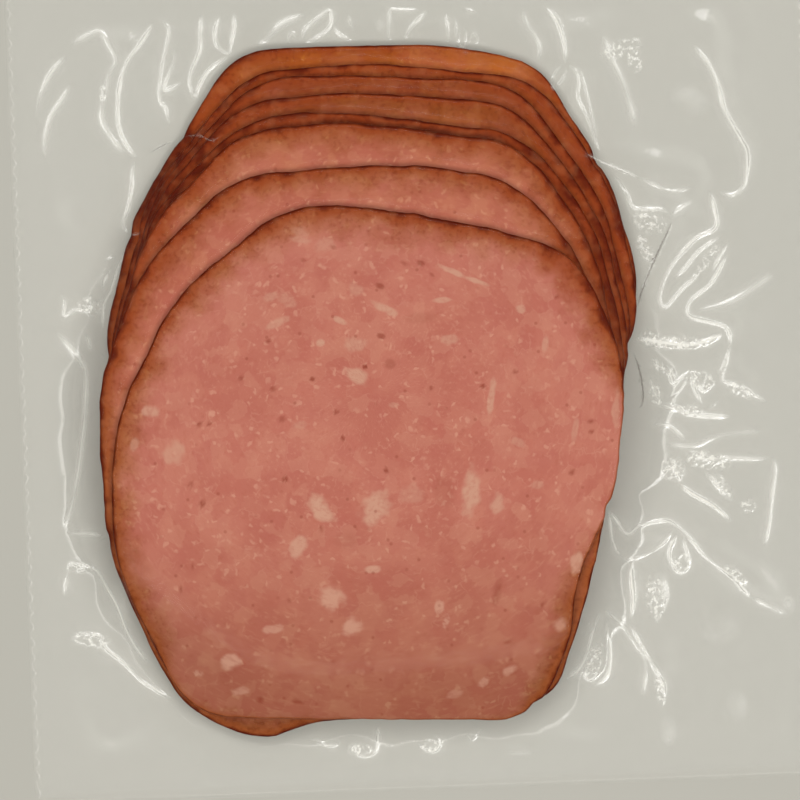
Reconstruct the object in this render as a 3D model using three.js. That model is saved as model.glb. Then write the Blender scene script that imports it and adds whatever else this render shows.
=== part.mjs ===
// A clear vacuum pouch of eight smoked ham slices, lying on its back with the slices fanned towards +Y.
// Millimetres, +Z up. The origin is the middle of the pouch's underside.
import * as THREE from 'three';

// Pouch
const POUCH_WIDTH = 176;
const POUCH_LENGTH = 180;
const POUCH_CORNER = 3;
const SEAL_WIDTH = 8;
const FILM = 0.3;
const GAP = 0.3;

// Slices
const SLICE = 1.4;
const CORNER_ROUNDING = 9;
const DRAPE_START = 6;
const DRAPE_LENGTH = 16;

// Front film between the slices and the seal
const SIDE_SLOPE = 2;
const TENT_FOOT = 3;
const TENT_SPREAD = 0.7;
const FOLD_FADE = 7;

// Fineness of the nets
const SLICE_SPOKES = 48;
const SPOKE_CROWDING = 0.1;
const FIRST_RING = 34;
const RING_STEP = 6;
const LAST_RING = 76;
const CORNER_STEPS = 6;
const SIDE_STEPS = 26;
const ARC_STEPS = 2;
const FILM_ROWS = 11;
const ROW_CROWDING = 1.3;
const SMALLEST_FACET = 1e-3;

const LAYER = SLICE + GAP;
const FIRST_SLICE = FILM + GAP;
const CENTRE = new THREE.Vector2(-10, -2);

// The corners of each slice's outline, counter-clockwise from its upper left one and
// before rounding. The first slice lies undermost; each next one is nearer to the eye.
const SLICE_CORNERS = [
  [[-38, 73.8], [-61.8, 37.5], [-69.6, 8], [-60, -24], [-32, -48], [28, -46], [37.5, -24], [45.6, 3], [49.5, 18.5],
    [44, 42], [27.8, 69.6], [2, 73.9]],
  [[-35, 69], [-57.6, 43.4], [-68.8, 5], [-60, -28], [-32, -52], [28, -50], [37.5, -28], [45.6, 2], [49, 16],
    [44, 40], [28.5, 64.8], [-5, 69.4]],
  [[-34, 66.8], [-57, 42], [-68.5, 1], [-60, -32], [-32, -55], [27, -53], [37, -30], [45, 0], [47, 12], [41.5, 38],
    [23.5, 64], [-12, 67.2]],
  [[-36, 62.2], [-57, 40], [-68.5, -2], [-60, -34], [-32, -58], [26, -56], [36.5, -32], [44.8, 0], [46, 8],
    [40.5, 35], [23, 59.4], [-12, 62.8]],
  [[-35.5, 58.2], [-57, 38], [-69, -4], [-61, -38], [-33, -62], [26, -60], [36, -36], [44.2, -2], [45, 4],
    [39.5, 32], [24.5, 52.4], [-16, 58.8]],
  [[-37, 54.8], [-58, 34], [-69.2, -1], [-62, -40], [-34, -64], [25, -62], [35.5, -39], [44, -2], [38.5, 28],
    [24.5, 50], [-13, 56.4]],
  [[-38, 45.4], [-59, 26], [-69.3, 1], [-68.7, -33], [-62.3, -53], [-54.5, -70], [-38.5, -78.2], [-27, -73.8],
    [26.5, -71.8], [37.2, -38], [43.6, -6], [36.5, 24], [22, 42.4], [-2, 46.6]],
  [[-27, 38.6], [-52, 19.5], [-65.6, -6], [-67.6, -34], [-61.2, -53], [-52.5, -71.5], [-6, -73.6], [21.5, -75.3],
    [30, -60], [32, -42.5], [41, -27.5], [44.6, 2], [35, 25.4], [17.5, 31.7], [-8, 37.2]],
];

// Folds of the slack front film: where each one starts at the slices, where it ends, its height and its half width.
const FOLDS = [
  { from: [-50, 55], to: [-62, 78], height: 2.2, width: 4 },
  { from: [-38, 70], to: [-42, 80], height: 1.4, width: 3.5 },
  { from: [-24, 74], to: [-26, 81], height: 1.2, width: 3.5 },
  { from: [-8, 74], to: [-8, 82], height: 1.2, width: 3.5 },
  { from: [8, 73], to: [12, 82], height: 1.2, width: 3.5 },
  { from: [30, 64], to: [42, 78], height: 2, width: 4.5 },
  { from: [39, 50], to: [62, 42], height: 2.4, width: 4 },
  { from: [66, 76], to: [70, 46], height: 1.8, width: 4 },
  { from: [47, 19], to: [57, 36], height: 2, width: 4 },
  { from: [46, 8], to: [68, 10], height: 1.6, width: 4 },
  { from: [45, -4], to: [68, -2], height: 1.6, width: 4.5 },
  { from: [41, -28], to: [78, -50], height: 2.2, width: 4 },
  { from: [38, -32], to: [54, -78], height: 2.4, width: 4 },
  { from: [24, -70], to: [34, -79], height: 1.4, width: 4 },
  { from: [-10, -75], to: [-12, -81], height: 1, width: 4 },
  { from: [-56, -66], to: [-70, -76], height: 1.6, width: 4 },
  { from: [-67, -34], to: [-78, -34], height: 1.2, width: 4 },
  { from: [-68, 10], to: [-78, 4], height: 1.6, width: 4 },
  { from: [-62, 34], to: [-78, 40], height: 1.6, width: 4 },
];

// A closed outline through the corners, each cut off by a smooth bend.
function roundedOutline(corners) {
  const points = corners.map(([x, y]) => new THREE.Vector2(x, y));
  const towards = (corner, other) => {
    const length = corner.distanceTo(other);
    return corner.clone().lerp(other, Math.min(CORNER_ROUNDING / length, 0.5));
  };
  return points.flatMap((corner, i) => {
    const before = towards(corner, points.at(i - 1));
    const after = towards(corner, points[(i + 1) % points.length]);
    return new THREE.QuadraticBezierCurve(before, corner, after).getPoints(CORNER_STEPS);
  });
}

const OUTLINES = SLICE_CORNERS.map(roundedOutline);

// How far an outline reaches from the fan's centre at an angle.
function reach(outline, angle) {
  const ray = new THREE.Vector2(Math.cos(angle), Math.sin(angle));
  const crossings = outline.map((start, i) => {
    const side = outline[(i + 1) % outline.length].clone().sub(start);
    const toStart = start.clone().sub(CENTRE);
    const along = toStart.cross(ray) / ray.cross(side);
    return along >= 0 && along <= 1 ? toStart.cross(side) / ray.cross(side) : 0;
  });
  return Math.max(...crossings);
}

function angleOf(point) {
  return Math.atan2(point.y - CENTRE.y, point.x - CENTRE.x);
}

// The underside of slice number index: one layer up for each slice beneath it, sinking past their edges.
function underside(index, point) {
  const angle = angleOf(point);
  const distance = point.distanceTo(CENTRE);
  return OUTLINES.slice(0, index).reduce((height, outline) => {
    const past = distance - reach(outline, angle) - DRAPE_START;
    return height + LAYER * (1 - THREE.MathUtils.smoothstep(past, 0, DRAPE_LENGTH));
  }, FIRST_SLICE);
}

// A closed body between two nets of rings, each ring listed counter-clockwise and from the inside out.
// With a middle point the nets close over it; without one the body is open inside the first ring.
function solidBetween(topRings, topHeight, bottomRings, bottomHeight, middle) {
  const positions = [];
  const lift = (point, height) => new THREE.Vector3(point.x, point.y, height(point));
  const facet = (...corners) => {
    if (new THREE.Triangle(...corners).getArea() < SMALLEST_FACET) return;
    corners.forEach((corner) => positions.push(...corner));
  };
  const net = (rings, height, fill) => {
    rings.slice(1).forEach((outer, row) => {
      outer.forEach((_, i) => {
        const next = (i + 1) % outer.length;
        const [a, b, c, d] = [rings[row][i], outer[i], outer[next], rings[row][next]].map((p) => lift(p, height));
        fill(a, b, c);
        fill(a, c, d);
      });
    });
    if (!middle) return;
    rings[0].forEach((point, i) => {
      const next = rings[0][(i + 1) % rings[0].length];
      fill(lift(middle, height), lift(point, height), lift(next, height));
    });
  };
  const wall = (ring, fill) => ring.forEach((point, i) => {
    const next = ring[(i + 1) % ring.length];
    const low = [lift(point, bottomHeight), lift(next, bottomHeight)];
    const high = [lift(point, topHeight), lift(next, topHeight)];
    fill(low[0], low[1], high[1]);
    fill(low[0], high[1], high[0]);
  });
  const flipped = (a, b, c) => facet(a, c, b);
  net(topRings, topHeight, facet);
  net(bottomRings, bottomHeight, flipped);
  wall(topRings.at(-1), facet);
  if (!middle) wall(topRings[0], flipped);
  const geometry = new THREE.BufferGeometry();
  geometry.setAttribute('position', new THREE.Float32BufferAttribute(positions, 3));
  geometry.computeVertexNormals();
  return geometry;
}

// One slice: rings at shared places, cut short where its own outline ends. The spokes crowd
// towards the diagonals, where the outlines turn.
function sliceGeometry(index) {
  const spokes = Array.from({ length: SLICE_SPOKES }, (_, i) => {
    const even = (2 * Math.PI * i) / SLICE_SPOKES;
    return even + SPOKE_CROWDING * Math.sin(4 * even);
  });
  const edge = spokes.map((angle) => reach(OUTLINES[index], angle));
  const rings = [];
  for (let radius = FIRST_RING; radius <= LAST_RING; radius += RING_STEP) {
    rings.push(spokes.map((angle, i) => {
      const short = Math.min(radius, edge[i]);
      return new THREE.Vector2(Math.cos(angle), Math.sin(angle)).multiplyScalar(short).add(CENTRE);
    }));
  }
  const bottom = (point) => underside(index, point);
  const top = (point) => bottom(point) + SLICE;
  return solidBetween(rings, top, rings, bottom, CENTRE);
}

// The pouch's rectangle, drawn in by an inset, with a short arc at each corner.
function pouchRing(inset) {
  const x = POUCH_WIDTH / 2 - inset - POUCH_CORNER;
  const y = POUCH_LENGTH / 2 - inset - POUCH_CORNER;
  const middles = [[x, y], [-x, y], [-x, -y], [x, -y]].map(([mx, my]) => new THREE.Vector2(mx, my));
  const onArc = (corner, step) => {
    const angle = (corner + step / ARC_STEPS) * (Math.PI / 2);
    const spoke = new THREE.Vector2(Math.cos(angle), Math.sin(angle)).multiplyScalar(POUCH_CORNER);
    return middles[corner % 4].clone().add(spoke);
  };
  return middles.flatMap((_, corner) => {
    const arc = Array.from({ length: ARC_STEPS }, (_step, step) => onArc(corner, step));
    const start = onArc(corner, ARC_STEPS);
    const end = onArc((corner + 1) % 4, 0);
    const side = Array.from({ length: SIDE_STEPS }, (_step, step) => start.clone().lerp(end, step / SIDE_STEPS));
    return [...arc, ...side];
  });
}

// How far the whole fan reaches at an angle, and how high the film stands there.
function fanEdge(angle) {
  const reaches = OUTLINES.map((outline) => reach(outline, angle));
  const far = Math.max(...reaches);
  const ray = new THREE.Vector2(Math.cos(angle), Math.sin(angle));
  const heights = reaches.map((own, index) => {
    const rim = ray.clone().multiplyScalar(own).add(CENTRE);
    return underside(index, rim) + SLICE - SIDE_SLOPE * (far - own);
  });
  return { far, height: Math.max(...heights) };
}

function foldHeight(point) {
  const nearest = new THREE.Vector3();
  const place = new THREE.Vector3(point.x, point.y, 0);
  const heights = FOLDS.map(({ from, to, height, width }) => {
    const line = new THREE.Line3(new THREE.Vector3(...from, 0), new THREE.Vector3(...to, 0));
    line.closestPointToPoint(place, true, nearest);
    return height * Math.exp(-((nearest.distanceTo(place) / width) ** 2));
  });
  return Math.max(...heights);
}

// The front film's top side: a tent down from the slices, then slack folds, flat at the seal.
function frontFilmTop(point) {
  const flat = FIRST_SLICE + FILM;
  const { far, height } = fanEdge(angleOf(point));
  const rise = height - flat;
  const away = point.distanceTo(CENTRE) - far - GAP;
  const tent = rise * Math.max(0, 1 - away / (TENT_FOOT + TENT_SPREAD * rise)) ** 2;
  const toSeal = Math.min(POUCH_WIDTH / 2 - Math.abs(point.x), POUCH_LENGTH / 2 - Math.abs(point.y)) - SEAL_WIDTH;
  const slack = foldHeight(point) * THREE.MathUtils.smoothstep(toSeal, 0, FOLD_FADE);
  return flat + Math.max(tent, slack);
}

function frontFilmGeometry() {
  const sealInside = pouchRing(SEAL_WIDTH);
  const hamSide = sealInside.map((point) => {
    const angle = angleOf(point);
    const { far } = fanEdge(angle);
    return new THREE.Vector2(Math.cos(angle), Math.sin(angle)).multiplyScalar(far + GAP).add(CENTRE);
  });
  const rows = Array.from({ length: FILM_ROWS }, (_, row) => {
    const share = (row / FILM_ROWS) ** ROW_CROWDING;
    return hamSide.map((point, i) => point.clone().lerp(sealInside[i], share));
  });
  const rings = [...rows, sealInside, pouchRing(0)];
  return solidBetween(rings, frontFilmTop, [rings[0], rings.at(-1)], () => FIRST_SLICE);
}

function backFilmGeometry() {
  return new THREE.ExtrudeGeometry(new THREE.Shape(pouchRing(0)), { depth: FILM, bevelEnabled: false });
}

function piece(name, geometry, material) {
  const mesh = new THREE.Mesh(geometry, new THREE.MeshStandardMaterial(material));
  mesh.name = name;
  return mesh;
}

const group = new THREE.Group();
const clear = { color: 0xd9d8cf, roughness: 0.12, metalness: 0, transparent: true, opacity: 0.35 };
group.add(piece('back_film', backFilmGeometry(), clear));
SLICE_CORNERS.forEach((_, index) => {
  const ham = { color: index === 0 ? 0xb9714a : 0xc47a69, roughness: 0.45, metalness: 0 };
  group.add(piece(`slice_${index + 1}`, sliceGeometry(index), ham));
});
group.add(piece('front_film', frontFilmGeometry(), clear));

export default group;
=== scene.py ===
"""The looks of a clear vacuum pouch of smoked ham slices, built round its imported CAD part.
Sizes are in millimetres until a mesh is made, which is in metres, in the CAD's own frame."""

import math

import bpy
import numpy as np
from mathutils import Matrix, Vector, noise
from mathutils.geometry import delaunay_2d_cdt


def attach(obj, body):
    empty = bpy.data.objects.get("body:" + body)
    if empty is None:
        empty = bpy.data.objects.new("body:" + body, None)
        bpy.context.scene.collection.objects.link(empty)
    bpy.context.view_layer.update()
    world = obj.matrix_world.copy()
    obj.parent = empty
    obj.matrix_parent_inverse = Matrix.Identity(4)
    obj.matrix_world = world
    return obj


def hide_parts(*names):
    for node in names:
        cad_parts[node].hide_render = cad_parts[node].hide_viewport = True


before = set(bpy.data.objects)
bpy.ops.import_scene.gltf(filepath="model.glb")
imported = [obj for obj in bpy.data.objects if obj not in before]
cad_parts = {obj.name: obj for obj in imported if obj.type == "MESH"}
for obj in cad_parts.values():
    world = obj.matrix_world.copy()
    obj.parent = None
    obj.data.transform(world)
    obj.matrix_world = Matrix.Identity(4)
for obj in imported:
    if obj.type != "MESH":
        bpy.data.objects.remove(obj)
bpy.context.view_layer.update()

# --- Back film ---------------------------------------------------------------------------------
# The pouch's back: one flat rectangle of clear polyamide and polyethylene film, cut from the roll
# and heat-sealed to the front film all round. It lies flat, so its CAD sheet stays and is finished.

POUCH_WIDTH = 176
POUCH_LENGTH = 180
POUCH_CORNER = 3
SEAL_WIDTH = 8
# The white is the film's milkiness and also the painted highlight on its creases; the grey is painted shade on its
# dark creases
FILM_HAZE_AND_HIGHLIGHT = "F6F4EC"
FILM_PAINTED_SHADE = "77706A"


def linear(code):
    """An sRGB hex colour as Blender's linear RGBA."""
    shares = [int(code[i : i + 2], 16) / 255 for i in (0, 2, 4)]
    return [s / 12.92 if s <= 0.04045 else ((s + 0.055) / 1.055) ** 2.4 for s in shares] + [1]


def add(tree, kind, feeds=(), **settings):
    """Adds a node. feeds gives sockets, by name or number, a value or another node's output."""
    made = tree.nodes.new("ShaderNode" + kind)
    for name, value in settings.items():
        setattr(made, name, value)
    for name, value in dict(feeds).items():
        socket = made.inputs[name]
        if isinstance(value, bpy.types.NodeSocket):
            tree.links.new(value, socket)
        else:
            socket.default_value = value
    return made


def new_material(name):
    material = bpy.data.materials.new(name)
    material.use_nodes = True
    material.node_tree.nodes.clear()
    return material, material.node_tree


def clear_film(name, milk, mirror_ior):
    """Blown film, vacuum-drawn: it mirrors the lamps in thin lines and blurs them a little over its
    fine orange peel, and what is slack of it looks a trace milky against the table. Its creases are
    painted white as painted highlight, partly its own whitening where sharply folded, its dark creases
    get grey painted shade, and its crumples get painted glints."""
    material, tree = new_material(name)
    place = add(tree, "TexCoord").outputs["Object"]
    traits = {label: add(tree, "Attribute", attribute_name=label).outputs["Fac"]
              for label in ("cling", "inner", "crease", "crumple")}

    def sums(operation, *values, **settings):
        return add(tree, "Math", dict(enumerate(values)), operation=operation, **settings).outputs[0]

    clear = add(tree, "BsdfTransparent", {"Color": linear("FFFFFF")})
    peel = add(tree, "TexNoise", {"Vector": place, "Scale": 900, "Detail": 0}).outputs["Fac"]
    bump = add(tree, "Bump", {"Height": peel, "Strength": 0.25, "Distance": 0.00004}).outputs["Normal"]
    gloss = add(tree, "BsdfAnisotropic", {"Color": linear("FFFFFF"), "Roughness": 0.1, "Normal": bump})
    mirror = add(tree, "Fresnel", {"IOR": mirror_ior}).outputs[0]
    crest = sums("MAXIMUM", traits["crease"], 0.0)
    mirror = sums("MULTIPLY_ADD", crest, 0.2, mirror)
    dull = sums("MULTIPLY_ADD", traits["cling"], 0.95, traits["inner"], use_clamp=True)
    shine = sums("MULTIPLY", sums("SUBTRACT", 1.0, dull), mirror)
    film = add(tree, "MixShader", {0: shine, 1: clear.outputs[0], 2: gloss.outputs[0]})
    # Painted light: the creases are painted white as painted highlight, partly the film's own whitening where
    # sharply folded, or grey as painted shade where it stands on edge and would mirror the dark; the crumples get
    # painted glints
    painted_glints = add(tree, "TexNoise", {"Vector": place, "Scale": 950, "Detail": 1}, noise_dimensions="2D")
    painted_glints = add(tree, "MapRange", {"Value": painted_glints.outputs["Fac"], "From Min": 0.5, "From Max": 0.72,
                                     "To Max": 0.7})
    painted_glints = sums("MULTIPLY", painted_glints.outputs[0], traits["crumple"])
    tone = add(tree, "MapRange", {"Value": traits["crease"], "From Min": -0.02, "From Max": 0.0})
    tone = add(tree, "Mix", {0: tone.outputs[0], 6: linear(FILM_PAINTED_SHADE), 7: linear(FILM_HAZE_AND_HIGHLIGHT)}, data_type="RGBA")
    haze_and_painted_light = add(tree, "BsdfDiffuse", {"Color": tone.outputs[2]})
    milky = add(tree, "MapRange", {"Value": traits["cling"], "To Min": milk, "To Max": 0.0}).outputs[0]
    # The share of painted highlight, painted shade and painted glints
    whitening_and_painted_light = sums("MULTIPLY_ADD", sums("ABSOLUTE", traits["crease"]), 0.62, painted_glints)
    share = sums("ADD", milky, whitening_and_painted_light, use_clamp=True)
    hazy = add(tree, "MixShader", {0: share, 1: film.outputs[0], 2: haze_and_painted_light.outputs[0]})
    rays = add(tree, "LightPath").outputs
    lamplight = add(tree, "Math", {0: rays["Is Shadow Ray"], 1: rays["Is Diffuse Ray"]}, operation="MAXIMUM")
    through = add(tree, "BsdfTransparent", {"Color": linear("FFFFFF")})
    lit = add(tree, "MixShader", {0: lamplight.outputs[0], 1: hazy.outputs[0], 2: through.outputs[0]})
    add(tree, "OutputMaterial", {"Surface": lit.outputs[0]})
    return material


back_finish = clear_film("clear_film_back", 0.02, 1.0)
for material_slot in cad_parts["back_film"].material_slots:
    material_slot.material = back_finish

# --- Ham slices --------------------------------------------------------------------------------
# Eight slices cut on a machine from one smoked, pressed ham of chopped pork, fanned one layer up
# each and drooping over the edges of those below. Each has a dark smoked rim, darkened further with
# painted shade where the rims stack, and pale fat pieces.

CENTRE = np.array([-10.0, -2.0])
SLICE = 1.4
LAYER = 1.7
FIRST_SLICE = 0.6
CORNER_ROUNDING = 9
DRAPE_START = 6
DRAPE_LENGTH = 16
ROUND_OVER = 0.6  # how far in from the rim its edge is rounded
TOP_FACE = 13.9  # the height of the top slice's face
LONG_WAVES = (0.4, 7)  # of the knife's cut round the rim: height and length
SHORT_WAVES = (0.16, 2.2)
SWELL = (0.1, 14)  # of the faces: height and length
LEAN = "C27665"
LEAN_DEEP = "BC6E5E"
FAT = "CE9A83"
PORE_BROWN = "8C3B28"
CRUST_UPPER = "963E16"
CRUST_LOWER = "9C5026"
# The dark line at the very rim: partly burnt rind, partly painted shade in the step down to the slice below
CRUST_BURNT_AND_SHADE = "5A1400"
SLICE_CORNERS = [
    [(-38, 73.8), (-61.8, 37.5), (-69.6, 8), (-60, -24), (-32, -48), (28, -46), (37.5, -24), (45.6, 3),
     (49.5, 18.5), (44, 42), (27.8, 69.6), (2, 73.9)],
    [(-35, 69), (-57.6, 43.4), (-68.8, 5), (-60, -28), (-32, -52), (28, -50), (37.5, -28), (45.6, 2),
     (49, 16), (44, 40), (28.5, 64.8), (-5, 69.4)],
    [(-34, 66.8), (-57, 42), (-68.5, 1), (-60, -32), (-32, -55), (27, -53), (37, -30), (45, 0), (47, 12),
     (41.5, 38), (23.5, 64), (-12, 67.2)],
    [(-36, 62.2), (-57, 40), (-68.5, -2), (-60, -34), (-32, -58), (26, -56), (36.5, -32), (44.8, 0),
     (46, 8), (40.5, 35), (23, 59.4), (-12, 62.8)],
    [(-35.5, 58.2), (-57, 38), (-69, -4), (-61, -38), (-33, -62), (26, -60), (36, -36), (44.2, -2), (45, 4),
     (39.5, 32), (24.5, 52.4), (-16, 58.8)],
    [(-37, 54.8), (-58, 34), (-69.2, -1), (-62, -40), (-34, -64), (25, -62), (35.5, -39), (44, -2),
     (38.5, 28), (24.5, 50), (-13, 56.4)],
    [(-38, 45.4), (-59, 26), (-69.3, 1), (-68.7, -33), (-62.3, -53), (-54.5, -70), (-38.5, -78.2),
     (-27, -73.8), (26.5, -71.8), (37.2, -38), (43.6, -6), (36.5, 24), (22, 42.4), (-2, 46.6)],
    [(-27, 38.6), (-52, 19.5), (-65.6, -6), (-67.6, -34), (-61.2, -53), (-52.5, -71.5), (-6, -73.6),
     (21.5, -75.3), (30, -60), (32, -42.5), (41, -27.5), (44.6, 2), (35, 25.4), (17.5, 31.7), (-8, 37.2)],
]
# What the smoke multiplies each slice's pink by, darker on the lower slices as painted shade under those
# above, and how far in from the rim it is strong
SMOKE_AND_SHADE_TINTS = ["F6D97C", "DCB272", "D8B380", "D8BC86", "A26A3E", "F5EAD4", "F7EDDD", "FFFFFF"]
SMOKE_REACH = [15, 11, 10, 10, 10, 8, 8, 9]
# How wide the brown rim is round a slice, widened where the rims stack close to paint their shade,
# at pixels near it: the first, the next four, the next two, the top one
RIND_AND_SHADE_WIDTHS = [
    [(500, 62, 0.2), (420, 48, 0.45), (330, 48, 0.7), (250, 60, 1.2), (210, 110, 2.0), (165, 180, 2.4),
     (140, 235, 1.4), (110, 350, 1.1), (300, 720, 1.0), (630, 330, 0.8), (620, 240, 0.7), (590, 160, 0.9),
     (540, 80, 0.5)],
    [(500, 80, 0.6), (420, 70, 0.5), (330, 75, 0.7), (250, 95, 1.3), (210, 125, 1.8), (165, 180, 2.3),
     (140, 235, 1.4), (110, 350, 1.1), (300, 720, 1.0), (630, 330, 1.0), (612, 240, 1.4), (585, 170, 1.5),
     (545, 105, 1.0)],
    [(350, 150, 0.8), (200, 200, 1.0), (130, 290, 1.6), (106, 400, 1.1), (112, 540, 1.2), (180, 700, 0.7),
     (260, 734, 0.9), (300, 726, 0.9), (540, 700, 0.7), (580, 610, 0.5), (600, 540, 0.4), (625, 340, 1.1),
     (590, 240, 1.3), (500, 170, 1.0)],
    [(372, 207, 0.9), (320, 212, 1.3), (250, 245, 0.9), (135, 380, 0.8), (114, 460, 0.8), (112, 540, 1.0),
     (150, 620, 1.0), (180, 690, 0.45), (230, 722, 0.35), (290, 724, 0.3), (340, 722, 0.1), (400, 720, 0.06),
     (470, 718, 0.1), (515, 714, 0.4), (545, 680, 0.9), (570, 630, 0.8), (590, 560, 0.4), (606, 505, 0.2),
     (617, 440, 0.15), (622, 400, 0.2), (618, 350, 1.0), (602, 300, 1.8), (580, 268, 2.8), (540, 243, 1.1),
     (450, 223, 0.9), (485, 229, 1.1)],
]
# Where the film pinches the rims: place, and how deep it draws them in
PINCHES = [(183, 138), (132, 236), (107, 355), (106, 538), (600, 158), (632, 345), (603, 505), (535, 705)]
PINCH_DEPTH = 0.7
PINCH_WIDTH = 1.6
# Pale pieces of fat in the top slice: pixel, length and width in millimetres, turn in degrees, how rich
FAT_PIECES = [
    (320, 508, 9.0, 4.8, -52, 1.0), (375, 509, 10.0, 7.2, 62, 0.9), (298, 547, 7.6, 4.2, 60, 0.85),
    (471, 492, 12.0, 4.8, 82, 0.9), (497, 504, 5.6, 3.8, 80, 0.75), (412, 494, 6.8, 5.6, 0, 0.35),
    (332, 598, 7.0, 6.0, 0, 0.8), (352, 627, 6.2, 5.0, 30, 0.75), (230, 663, 5.4, 4.2, 0, 0.85),
    (357, 377, 7.2, 4.4, -35, 0.9), (355, 344, 5.6, 4.4, 0, 0.6), (320, 343, 2.6, 2.0, 0, 0.9),
    (384, 308, 7.4, 2.6, -28, 0.85), (340, 321, 4.0, 1.6, -30, 0.8), (277, 323, 7.2, 2.4, 20, 0.6),
    (443, 300, 5.2, 1.6, 0, 0.7), (450, 340, 4.2, 3.0, 0, 0.6), (452, 271, 7.6, 1.5, -28, 0.8),
    (476, 281, 6.5, 1.4, -20, 0.8), (521, 309, 3.0, 2.4, 0, 0.7), (491, 398, 9.5, 2.0, 80, 0.75),
    (175, 453, 7.2, 6.2, 45, 0.6), (150, 411, 5.0, 3.2, -10, 0.8), (576, 562, 5.6, 3.4, 75, 0.8),
    (439, 607, 4.6, 2.4, 75, 0.7), (446, 622, 4.0, 2.0, 60, 0.6), (575, 430, 6.0, 2.0, 80, 0.45),
    (616, 408, 11.0, 2.2, 86, 0.55), (545, 345, 5.0, 1.8, 75, 0.5), (270, 297, 5.0, 2.4, 20, 0.5),
    (303, 240, 5.6, 2.0, -10, 0.5), (196, 676, 4.0, 2.0, 0, 0.5), (240, 694, 5.0, 2.6, 10, 0.5),
    (134, 445, 3.6, 2.4, 70, 0.45), (372, 569, 4.6, 2.2, 0, 0.8), (272, 629, 6.4, 2.6, 5, 0.6),
    (510, 672, 4.0, 2.6, 20, 0.6), (485, 684, 4.4, 2.2, 55, 0.5), (455, 697, 5.0, 2.4, 20, 0.35),
    (560, 625, 4.0, 3.4, 20, 0.55), (538, 485, 3.6, 2.2, 10, 0.4), (518, 442, 4.0, 2.6, -30, 0.4),
    (300, 425, 3.6, 2.4, 0, 0.35), (286, 300, 6.0, 3.2, -30, 0.35), (300, 232, 5.4, 3.0, -40, 0.35),
    (325, 245, 6.0, 4.0, 10, 0.35), (355, 290, 4.6, 3.6, -30, 0.4), (395, 405, 3.0, 1.6, 0, 0.4),
]
# Dark pores and gelatine spots in it, in the same way
PORES = [
    (380, 286, 2.6, 1.7, -20, 0.8), (381, 336, 2.4, 1.5, -15, 0.8), (421, 263, 2.2, 1.4, -20, 0.8),
    (390, 364, 3.0, 2.8, 0, 0.45), (312, 379, 1.3, 1.3, 0, 1), (273, 389, 1.5, 1.5, 0, 0.7),
    (365, 367, 1.3, 1.2, 0, 1), (241, 378, 1.6, 1.3, 0, 0.7), (282, 419, 2.0, 1.9, 0, 0.6),
    (336, 412, 1.5, 1.3, 0, 0.8), (343, 438, 1.4, 1.3, 0, 1), (202, 504, 1.7, 2.1, 0, 0.9),
    (259, 703, 2.0, 1.6, 0, 1), (296, 705, 2.4, 1.7, 0, 1), (508, 642, 1.7, 1.4, 0, 0.8),
    (543, 604, 1.5, 1.3, 0, 0.9), (483, 386, 1.4, 1.3, 0, 1), (497, 592, 7.5, 2.2, 75, 0.5),
    (191, 485, 1.8, 1.2, 30, 0.6), (557, 297, 1.3, 1.3, 0, 0.7), (546, 268, 1.8, 1.2, 0, 0.5),
    (209, 424, 1.2, 1.2, 0, 0.8), (199, 424, 1.4, 1.4, 0, 0.9), (180, 588, 1.3, 1.3, 0, 0.8),
    (431, 388, 1.2, 1.2, 0, 0.8), (515, 372, 1.5, 1.2, 0, 0.7), (268, 341, 1.3, 1.1, 0, 0.8),
    (333, 247, 1.6, 1.2, 0, 0.6), (285, 479, 1.6, 1.4, 0, 0.9), (386, 470, 1.4, 1.3, 0, 1),
    (321, 529, 1.3, 1.2, 0, 0.7), (591, 422, 1.4, 1.3, 0, 0.9), (592, 431, 1.3, 1.2, 0, 0.9),
    (572, 472, 1.5, 1.3, 0, 0.8), (289, 600, 1.4, 1.2, 0, 0.6), (192, 566, 1.2, 1.1, 0, 0.6),
    (404, 263, 2.0, 1.0, -30, 0.5), (432, 275, 1.6, 1.0, -40, 0.5), (303, 260, 1.4, 1.2, 40, 0.5),
    (444, 492, 6.0, 9.0, 10, 0.22), (420, 318, 9.0, 3.0, 0, 0.22), (345, 540, 7.0, 5.0, 0, 0.16),
]
# Where the photograph's pixels lie on the pouch: it is seen from above, turned a little
SEEN_TURN = math.radians(2.2)
SEEN_FROM = 500
PIXEL = 0.22
SEEN_MIDDLE = (-4.18, -4.40)


def seen_at(across, down, height=1.0):
    """The place on the pouch, at a height, that shows at a pixel of the photograph."""
    spread = PIXEL * (SEEN_FROM - height) / SEEN_FROM
    x = (across - 400) * spread + SEEN_MIDDLE[0]
    y = (400 - down) * spread + SEEN_MIDDLE[1]
    turn = complex(x, y) * complex(math.cos(SEEN_TURN), -math.sin(SEEN_TURN))
    return turn.real, turn.imag


def smooth(value, low, high):
    share = np.clip((value - low) / (high - low), 0, 1)
    return share * share * (3 - 2 * share)


def uneven(points, size, seed):
    """Smooth random values of about -1 to 1 at 2-D or 3-D points, with waves of a size."""
    flat = np.atleast_2d(points) / size
    third = flat[:, 2] if flat.shape[1] > 2 else np.zeros(len(flat))
    return np.array([noise.noise((x, y, z + seed * 7.3)) for x, y, z in zip(flat[:, 0], flat[:, 1], third)])


def polar(x, y):
    return np.arctan2(y - CENTRE[1], x - CENTRE[0]), np.hypot(x - CENTRE[0], y - CENTRE[1])


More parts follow.
